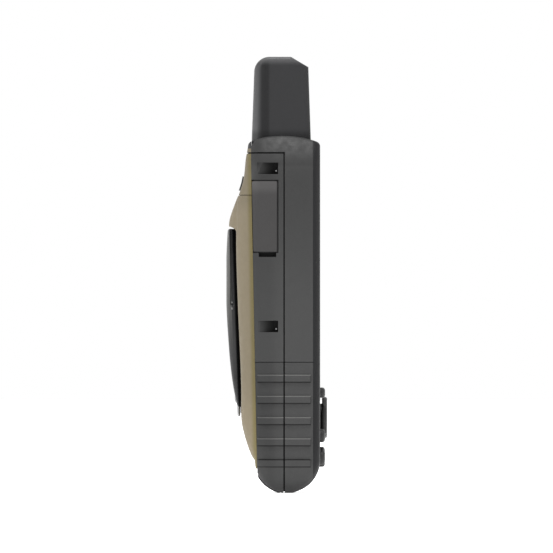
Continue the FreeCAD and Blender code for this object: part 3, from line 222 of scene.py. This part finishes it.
def case_finish():
    """Dark grey with painted shade towards the top, towards the back and in a band near the top, tan at the
    crest, and painted shade in the side pockets and in a strip just below the side cap.
    """
    finish = moulded("case_plastic", srgb(50, 50, 50), specular=0.17)
    # Painted shade: darker towards the top, towards the back, and in a band from 121 to 127.5 mm up.
    finish.shade(finish.ramp(finish.axis("Z"), 45 * MM, 128 * MM, 1.0, 0.0), 0.78, 1.08)
    finish.shade(finish.ramp(finish.axis("Y"), -2.4 * MM, 4.0 * MM, 1.0, 0.0), 0.84, 1.0)
    finish.shade(finish.band(finish.axis("Z"), 121 * MM, 127.5 * MM, 2 * MM), 1.0, 0.82)
    crest = finish.inside(y=(9.5 * MM, 20 * MM), z=(118 * MM, 126.3 * MM), soft=0.12 * MM)
    finish.tint(crest, srgb(84, 77, 62))
    across = finish.maths("ABSOLUTE", finish.axis("X"))
    # Painted shade: near black and without sheen in a strip just below the side cap, and deepening into the
    # two side pockets.
    painted_side_shade = finish.inside(x=(28.0 * MM, 30.3 * MM), y=(-0.1 * MM, 6.8 * MM), z=(86.4 * MM, 88.2 * MM))
    for skin, low, high in ((30.35, 58.9, 63.3), (29.45, 116.8, 121.2)):
        width = (20 * MM, (skin - 0.25) * MM)
        pocket = finish.inside(x=width, y=(-1 * MM, 7.2 * MM), z=(low * MM, high * MM))
        deep = finish.ramp(across, skin * MM, (skin - 2.3) * MM, 0.25, 1.0)
        painted_side_shade = finish.maths("ADD", painted_side_shade, finish.maths("MULTIPLY", pocket, deep))
    finish.tint(painted_side_shade, srgb(26, 26, 26))
    finish.dull(painted_side_shade)
    return finish.done()


def antenna_finish():
    """Black, with a painted highlight at the back and along the top rim, a band of painted shade just ahead
    of the back, and painted shade where it enters the case.
    """
    finish = moulded("antenna_plastic", srgb(36, 36, 37), 0.42, specular=0.12)
    depth = finish.axis("Y")
    # Painted shade in an upright band just ahead of the back; painted highlight at the back and along the
    # top rim.
    finish.shade(finish.band(depth, 3.6 * MM, 5.0 * MM, 1.6 * MM), 1.1, 0.62)
    back = finish.ramp(depth, 5.6 * MM, 8.8 * MM, 0.0, 0.75)
    rim = finish.ramp(finish.axis("Z"), 156.6 * MM, 159.8 * MM, 0.0, 1.0)
    finish.tint(finish.maths("MAXIMUM", back, rim), srgb(72, 72, 73))
    # Painted shade where the antenna enters the case.
    finish.shade(finish.ramp(finish.axis("Z"), 130.5 * MM, 134.5 * MM), 0.5, 1.0)
    return finish.done()


def bezel_finish():
    """Satin, near black."""
    return moulded("bezel_plastic", srgb(26, 26, 27), 0.45, FINE_GRAIN, 0.006 * MM, 0.12).done()


def tan_finish():
    """Olive tan at its front edge, greyer and lighter towards the crest, with painted shade towards the
    top, painted light towards the bottom and a painted shadow beside the spine's foot.
    """
    finish = moulded("tan_plastic", srgb(84, 76, 48), 0.6, 3600, 0.014 * MM, 0.2)
    edge = finish.maths("MULTIPLY_ADD", finish.axis("Z"), COVER_LEAN, 7.0 * MM)
    depth = finish.maths("SUBTRACT", finish.axis("Y"), edge)
    # Greyer and lighter towards the crest: the greyer tone is the plastic's own, the lightness is a painted
    # highlight.
    finish.tint(finish.ramp(depth, 0.5 * MM, 2.2 * MM), srgb(95, 87, 71))
    # Painted shade towards the top and painted light towards the bottom.
    finish.shade(finish.ramp(finish.axis("Z"), 100 * MM, 110 * MM), 1.0, 0.84)
    finish.shade(finish.ramp(finish.axis("Z"), 18 * MM, 46 * MM), 1.22, 1.0)
    finish.shade(finish.noise(700, 3), 0.95, 1.05)
    # Painted shadow, near black and without sheen, on the door beside the spine's foot.
    lean = finish.maths("MULTIPLY", finish.axis("Z"), SPINE_LEAN)
    foot = finish.maths("SUBTRACT", finish.axis("Y"), lean)
    beside = finish.inside(x=(-1 * MM, 13.1 * MM), z=(50 * MM, 97 * MM), soft=0.5 * MM)
    shadow = finish.maths("MULTIPLY", beside, finish.ramp(foot, 11.15 * MM, 11.65 * MM))
    finish.tint(shadow, srgb(6, 6, 6))
    finish.dull(shadow)
    return finish.done()


def spine_finish():
    """Black, with painted shadow where it meets the door and a painted highlight along its crest."""
    finish = moulded("spine_plastic", srgb(34, 34, 35), 0.38, FINE_GRAIN, 0.006 * MM, 0.3)
    foot = finish.maths("MULTIPLY_ADD", finish.axis("Z"), SPINE_LEAN, 11.64 * MM)
    height = finish.maths("SUBTRACT", finish.axis("Y"), foot)
    # Painted shadow where the spine meets the door, near black and without sheen.
    shadow = finish.ramp(height, 0.9 * MM, 1.9 * MM, 1.0, 0.0)
    finish.tint(shadow, srgb(2, 2, 2))
    finish.dull(shadow)
    # Painted highlight along the spine's crest, fainter lower down.
    painted_crest_highlight = finish.maths("MULTIPLY", finish.ramp(height, 2.3 * MM, 2.7 * MM),
                         finish.ramp(finish.axis("Z"), 50 * MM, 80 * MM, 0.1, 1.0))
    finish.tint(painted_crest_highlight, srgb(84, 84, 83))
    return finish.done()


def black_finish():
    """Satin black, for small parts and the bumper."""
    return moulded("black_plastic", srgb(24, 24, 25), 0.5, FINE_GRAIN, 0.006 * MM, 0.15).done()


def grip_finish():
    """Rubber ribs with painted highlights along their upper edges, painted shadow under their lower edges,
    and painted shade towards the back.
    """
    finish = moulded("grip_rubber", srgb(52, 52, 52), 0.68, FINE_GRAIN, 0.02 * MM, 0.15)
    along = finish.maths("DIVIDE", finish.axis("Z"), RIB_PITCH)
    # Painted highlight along the upper edge of each upper rib.
    rib_highlight_phase = finish.maths("FRACT", finish.maths("SUBTRACT", along, 11.9 * MM / RIB_PITCH))
    upper = finish.inside(y=RIB_SPAN, z=(14 * MM, 46 * MM), soft=0.3 * MM)
    lower = finish.inside(y=RIB_SPAN, z=(9 * MM, 46 * MM), soft=0.3 * MM)
    finish.tint(finish.maths("MULTIPLY", upper, finish.band(rib_highlight_phase, 0.02, 0.055, 0.02)), srgb(82, 82, 81))
    # Painted shadow under the lower edge of each rib.
    shaded = finish.maths("FRACT", finish.maths("SUBTRACT", along, 9.3 * MM / RIB_PITCH))
    last_rib_shadow = finish.inside(y=RIB_SPAN, z=(12.1 * MM, 12.35 * MM), soft=0.12 * MM)
    dark = finish.maths("MULTIPLY", lower, finish.band(shaded, 0.02, 0.055, 0.02))
    finish.tint(finish.maths("MAXIMUM", dark, last_rib_shadow), srgb(24, 24, 24))
    # Painted shade towards the back.
    finish.shade(finish.ramp(finish.axis("Y"), -2.4 * MM, 4.0 * MM, 1.0, 0.0), 0.78, 1.05)
    return finish.done()


def cap_finish():
    """The side cap's rubber, with a painted highlight at its upper end, and darker round its front and
    upper edges.
    """
    finish = moulded("cap_rubber", srgb(50, 49, 49), 0.6, FINE_GRAIN, 0.008 * MM, 0.15)
    # Painted highlight towards the upper end.
    finish.shade(finish.ramp(finish.axis("Z"), 108 * MM, 113.5 * MM), 1.0, 1.5)
    # Darker round the front and upper edges.
    face = finish.inside(y=(0.1 * MM, 20 * MM), z=(88.6 * MM, 114.2 * MM), soft=0.15 * MM)
    finish.shade(face, 0.35, 1.0)
    return finish.done()


def soft_finish(name, colour, roughness=0.6, specular=0.2):
    """Smooth moulded rubber with a faint bloom."""
    finish = Finish(name, colour, roughness, specular)
    finish.shade(finish.noise(160, 4), 0.93, 1.07)
    finish.bump(finish.noise(2600, 3), 0.008 * MM)
    finish.polish(finish.noise(500, 3), roughness - 0.08, roughness + 0.08)
    return finish.done()


def steel_finish(name, colour=(0.62, 0.61, 0.60, 1), roughness=0.3):
    finish = Finish(name, colour, roughness, 0.5, Metallic=1.0)
    finish.shade(finish.noise(900, 3, stretch=(1, 0.1, 1)), 0.88, 1.06)
    finish.bump(finish.noise(2400, 3, stretch=(1, 0.15, 1)), 0.006 * MM)
    finish.polish(finish.noise(600, 3), roughness - 0.1, roughness + 0.1)
    return finish.done()


def board_finish():
    """Green solder mask over copper tracks."""
    finish = Finish("circuit_board", srgb(18, 92, 52), 0.35, 0.5)
    tracks = finish.ramp(finish.cells(900, "DISTANCE_TO_EDGE", 0.6), 0.04, 0.07, 1.0, 0.0)
    finish.tint(tracks, srgb(42, 128, 70))
    finish.tint(finish.ramp(finish.cells(420), 0.1, 0.13, 1.0, 0.0), srgb(196, 168, 92))
    finish.bump(tracks, 0.02 * MM)
    return finish.done()


def lens_finish():
    finish = Finish("lens_glass", srgb(120, 124, 126), 0.06, 0.5, Alpha=0.10)
    finish.bump(finish.noise(1400, 2), 0.001 * MM)
    return finish.done()


def battery_finish():
    """A plain printed sleeve: dark with a copper-coloured end."""
    finish = Finish("battery_wrap", srgb(40, 44, 54), 0.3, 0.5)
    height = finish.axis("Z")
    finish.tint(finish.ramp(height, 79 * MM, 79.3 * MM), srgb(182, 120, 62))
    finish.shade(finish.noise(300, 3), 0.95, 1.05)
    finish.bump(finish.noise(300, 2), 0.01 * MM)
    return finish.done()


def paper_finish(name, colour, roughness=0.5):
    finish = Finish(name, colour, roughness, 0.3)
    finish.shade(finish.noise(1200, 3), 0.94, 1.06)
    finish.bump(finish.noise(3000, 2), 0.004 * MM)
    return finish.done()


def map_finish():
    """A screen with a made-up relief map: contour lines, woodland, water and a track."""
    finish = Finish("display_map", srgb(206, 208, 176), 0.35, 0.3)
    relief = finish.noise(46, 2.5, 0.45)
    finish.tint(finish.ramp(finish.noise(60, 2, 0.4), 0.52, 0.54), srgb(170, 192, 138))
    level = finish.maths("FRACT", finish.maths("MULTIPLY", relief, 22.0))
    line = finish.band(level, 0.45, 0.55, 0.06)
    finish.tint(finish.maths("MULTIPLY", line, 0.75), srgb(150, 112, 70))
    water = finish.ramp(relief, 0.36, 0.365, 1.0, 0.0)
    finish.tint(water, srgb(112, 156, 190))
    track = finish.maths("ADD", finish.axis("Z"), finish.maths("MULTIPLY", finish.noise(30, 1), 40 * MM))
    finish.tint(finish.band(track, 99.3 * MM, 100.2 * MM, 0.15 * MM), srgb(188, 60, 46))
    finish.tint(finish.band(finish.axis("Z"), 106 * MM, 130 * MM, 0.1 * MM), srgb(44, 54, 62))
    finish.tint(finish.band(finish.axis("Z"), 40 * MM, 59 * MM, 0.1 * MM), srgb(44, 54, 62))
    finish.bump(finish.noise(2000, 1), 0.001 * MM)
    return finish.done()


FINISHES = {
    "case": case_finish(),
    "antenna": antenna_finish(),
    "bezel": bezel_finish(),
    "tan": tan_finish(),
    "spine": spine_finish(),
    "grip": grip_finish(),
    "black": black_finish(),
    "gasket": soft_finish("gasket_rubber", srgb(22, 22, 22), 0.8, 0.08),
    "cap": cap_finish(),
    "jack_cap": soft_finish("jack_cap_rubber", srgb(48, 48, 47)),
    "key": soft_finish("key_rubber", srgb(50, 50, 50), 0.45),
    "mat": soft_finish("mat_rubber", srgb(150, 150, 152)),
    "lens": lens_finish(),
    "map": map_finish(),
    "tape": paper_finish("foam_tape", srgb(16, 16, 16)),
    "diffuser": paper_finish("diffuser", srgb(226, 226, 220)),
    "board": board_finish(),
    "chip": paper_finish("chip_epoxy", srgb(28, 28, 30)),
    "steel": steel_finish("plated_steel"),
    "dark_steel": steel_finish("dark_steel", (0.20, 0.20, 0.20, 1), 0.4),
    "brass": steel_finish("gold_plate", (0.80, 0.60, 0.24, 1), 0.22),
    "copper": steel_finish("copper_foil", (0.85, 0.46, 0.28, 1), 0.25),
    "ceramic": paper_finish("ceramic", srgb(222, 216, 202), 0.3),
    "battery": battery_finish(),
    "print": paper_finish("key_print", srgb(206, 208, 206), 0.55),
    "needle": paper_finish("needle_print", srgb(206, 58, 40), 0.45),
}

DRESS = {
    "case": ("front_case", "rear_case"),
    "antenna": ("antenna_cover",),
    "bezel": ("front_bezel",),
    "tan": ("battery_door", "back_cover"),
    "spine": ("mounting_spine",),
    "black": ("rocker_seat", "display_tray", "foot_bumper"),
    "grip": ("grip_left", "grip_right"),
    "gasket": ("case_gasket", "door_seal"),
    "cap": ("port_cap",),
    "jack_cap": ("jack_cap",),
    "key": ("key_back", "key_enter", "key_find", "key_mark", "key_menu", "key_page", "key_zoom_in",
            "key_zoom_out", "power_key", "rocker"),
    "mat": ("keypad_mat",),
    "lens": ("display_lens",),
    "map": ("display_panel",),
    "tape": ("lens_tape",),
    "diffuser": ("display_backlight",),
    "board": ("main_board", "keypad_board", "port_board", "antenna_board"),
    "chip": ("board_chips", "beeper", "power_switch", "memory_card"),
    "steel": ("latch_tongue", "latch_screw", "case_screws", "data_port", "card_socket", "rocker_pivot",
              "receiver_shield", "contact_plates", "contact_bridge", "contact_springs", "key_domes"),
    "dark_steel": ("latch_barrel", "latch_ring", "catch_pins", "rail_studs"),
    "brass": ("antenna_jack",),
    "copper": ("antenna_arms", "antenna_lead"),
    "ceramic": ("antenna_core",),
    "battery": ("battery_left", "battery_right"),
}


def dress_nodes():
    for finish, names in DRESS.items():
        for name in names:
            mesh = nodes[name].data
            mesh.materials.clear()
            mesh.materials.append(FINISHES[finish])


# ---------------------------------------------------------------- printed marks on the keys

def mark_piece(name, outlines, y, body, thickness=0.12 * MM, finish="print", turn=0.0, centre=(0, 0)):
    """Flat printed shapes facing -Y: each outline is a list of (x, z) points in metres about centre."""
    mesh = bmesh.new()
    for outline in outlines:
        face = mesh.faces.new([mesh.verts.new((x, 0, z)) for x, z in outline])
        made = bmesh.ops.extrude_face_region(mesh, geom=[face])
        moved = [v for v in made["geom"] if isinstance(v, bmesh.types.BMVert)]
        bmesh.ops.translate(mesh, verts=moved, vec=(0, -thickness, 0))
    bmesh.ops.recalc_face_normals(mesh, faces=mesh.faces)
    data = bpy.data.meshes.new(name)
    mesh.to_mesh(data)
    mesh.free()
    piece = bpy.data.objects.new(name, data)
    bpy.context.scene.collection.objects.link(piece)
    piece.matrix_world = Matrix.Translation((centre[0], y, centre[1])) @ Matrix.Rotation(turn, 4, "Y")
    data.materials.append(FINISHES[finish])
    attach(piece, body)


def bar(x0, z0, x1, z1):
    """A rectangle between two opposite corners."""
    return [(x0, z0), (x1, z0), (x1, z1), (x0, z1)]


def ring(radius, width, centre=(0, 0), steps=28):
    """A ring made of short quads."""
    quads = []
    for step in range(steps):
        angles = [math.radians(360.0 * (step + k) / steps) for k in (0, 1)]
        inner = [on_circle(centre, radius - width, angle) for angle in angles]
        outer = [on_circle(centre, radius, angle) for angle in reversed(angles)]
        quads.append(inner + outer)
    return quads


def on_circle(centre, radius, angle):
    return (centre[0] + radius * math.cos(angle), centre[1] + radius * math.sin(angle))


def turned(points, angle):
    """Points turned about the origin by an angle in radians."""
    cosine, sine = math.cos(angle), math.sin(angle)
    return [(x * cosine - z * sine, x * sine + z * cosine) for x, z in points]


def in_metres(outlines):
    """Outlines that are given in millimetres, in metres."""
    return [[(x * MM, z * MM) for x, z in outline] for outline in outlines]


def key_marks():
    """Plain symbols for each key, in millimetres about the key's middle."""
    return {
        "key_zoom_in": [bar(-1.1, -0.17, 1.1, 0.17), bar(-0.17, 0.17, 0.17, 1.1),
                        bar(-0.17, -1.1, 0.17, -0.17)],
        "key_zoom_out": [bar(-1.1, -0.17, 1.1, 0.17)],
        "key_back": [[(-1.6, 0.0), (-0.5, -0.9), (-0.5, 0.9)], bar(-0.5, -0.17, 1.4, 0.17)],
        "key_enter": [bar(-1.3, -0.6, 1.3, -0.27), bar(-1.3, 0.27, 1.3, 0.6)],
        "key_find": ring(1.0, 0.28, (-0.3, 0.3)) + [[(0.3, -0.5), (0.5, -0.3), (1.4, -1.2), (1.2, -1.4)]],
        "key_menu": [bar(-1.3, z - 0.15, 1.3, z + 0.15) for z in (-0.8, 0.0, 0.8)],
        "key_page": [bar(-1.1, -1.0, 0.5, -0.75), bar(-1.1, -0.75, -0.85, 1.0), bar(-0.4, -0.4, 1.2, 1.2)],
        "key_mark": [bar(-0.8, -1.3, -0.55, 1.3), [(-0.55, 0.2), (-0.55, 1.3), (1.1, 0.75)]],
    }


def print_keys():
    turns = {"key_find": -14.0, "key_menu": -4.0, "key_page": 4.0, "key_mark": 14.0}
    for key, outlines in key_marks().items():
        low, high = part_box(key)
        centre = ((low.x + high.x) / 2, (low.z + high.z) / 2)
        turn = math.radians(turns.get(key, 0.0))
        shapes = in_metres(outlines)
        mark_piece(f"print_{key}", shapes, low.y + 0.05 * MM, f"{key}_cap", turn=turn, centre=centre)


def print_rocker():
    low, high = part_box("rocker")
    centre = ((low.x + high.x) / 2, (low.z + high.z) / 2)
    arrow = [(-0.9, 4.5), (0.9, 4.5), (0.0, 5.7)]
    shapes = in_metres(turned(arrow, math.radians(90 * quarter)) for quarter in range(4))
    mark_piece("print_rocker", shapes, low.y + 0.42 * MM, "rocker_disc", 0.2 * MM, centre=centre)


# ---------------------------------------------------------------- what the screen shows

def screen_marks():
    """A position arrow, a compass rose, signal bars, a battery sign and a scale bar."""
    low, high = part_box("display_panel")
    y = low.y - 0.02 * MM

    def show(name, outlines, centre, finish="print", turn=0.0, thickness=0.06 * MM):
        mark_piece(name, in_metres(outlines), y, "housing", thickness, finish, math.radians(turn), centre)

    arrow = [[(0.0, 3.2), (-2.2, -2.6), (0.0, -1.4)], [(0.0, 3.2), (0.0, -1.4), (2.2, -2.6)]]
    show("screen_position", arrow, (0, 78 * MM), "needle", 24, 0.1 * MM)
    tick = bar(-0.12, 3.9, 0.12, 4.8)
    rose = ring(5.2, 0.35) + [turned(tick, math.radians(30 * step)) for step in range(12)]
    rose_centre = (13.2 * MM, high.z - 13.6 * MM)
    show("screen_rose", rose, rose_centre, "chip")
    show("screen_needle", [[(0, 3.4), (-0.7, 0), (0.7, 0)]], rose_centre, "needle", -20)
    signal = [bar(-17 + 1.5 * k, 0, -16 + 1.5 * k, 0.8 + 0.5 * k) for k in range(5)]
    show("screen_signal", signal, (0, 107.5 * MM))
    cell = [bar(0, 0, 4, 0.25), bar(0, 1.75, 4, 2), bar(0, 0.25, 0.25, 1.75), bar(3.75, 0.25, 4, 1.75),
            bar(0.5, 0.5, 2.7, 1.5), bar(4, 0.6, 4.4, 1.4)]
    show("screen_cell", cell, (12.5 * MM, 107.8 * MM))
    scale = [bar(-15, 0, -5, 0.3), bar(-15, 0.3, -14.7, 1.1), bar(-5.3, 0.3, -5, 1.1)]
    show("screen_scale", scale, (0, 61 * MM), "chip")


# ---------------------------------------------------------------- room, light and camera

def area_light(name, place, size, power):
    """A round white lamp that faces the middle of the device."""
    data = bpy.data.lights.new(name, "AREA")
    data.shape = "DISK"
    data.size = size
    data.energy = power
    light = bpy.data.objects.new(name, data)
    bpy.context.scene.collection.objects.link(light)
    light.location = place
    light.rotation_euler = (VIEW_CENTRE - Vector(place)).to_track_quat("-Z", "Y").to_euler()


def room():
    """A white floor and white surroundings."""
    mesh = bmesh.new()
    bmesh.ops.create_circle(mesh, cap_ends=True, radius=FLOOR_RADIUS, segments=96)
    data = bpy.data.meshes.new("floor")
    mesh.to_mesh(data)
    mesh.free()
    floor = bpy.data.objects.new("floor", data)
    bpy.context.scene.collection.objects.link(floor)
    floor.location.z = -FLOOR_DROP
    white = bpy.data.materials.new("floor_white")
    white.use_nodes = True
    shader = white.node_tree.nodes["Principled BSDF"]
    shader.inputs["Base Color"].default_value = (0.9, 0.9, 0.9, 1)
    shader.inputs["Roughness"].default_value = 0.9
    shader.inputs["Emission Color"].default_value = (1, 1, 1, 1)
    shader.inputs["Emission Strength"].default_value = 0.6
    data.materials.append(white)
    world = bpy.data.worlds.new("studio")
    world.use_nodes = True
    world.node_tree.nodes["Background"].inputs["Color"].default_value = (1, 1, 1, 1)
    world.node_tree.nodes["Background"].inputs["Strength"].default_value = 1.0
    bpy.context.scene.world = world


def camera():
    data = bpy.data.cameras.new("camera")
    data.sensor_width = SENSOR
    data.lens = SENSOR * VIEW_DISTANCE / VIEW_SIDE
    view = bpy.data.objects.new("camera", data)
    bpy.context.scene.collection.objects.link(view)
    view.location = VIEW_CENTRE - Vector((VIEW_DISTANCE, 0, 0))
    view.rotation_euler = Vector((1, 0, 0)).to_track_quat("-Z", "Y").to_euler()
    data.clip_start = NEAR_CLIP
    data.clip_end = FAR_CLIP
    bpy.context.scene.camera = view


dress_nodes()
print_keys()
print_rocker()
screen_marks()
room()
area_light("back_light", (-0.35, 1.6, 0.6), 0.6, 14)
area_light("top_light", (-0.45, 0.1, 1.7), 0.5, 30)
area_light("front_light", (-0.3, -1.5, 0.5), 0.6, 3)
camera()
bpy.context.scene.view_settings.view_transform = "Standard"
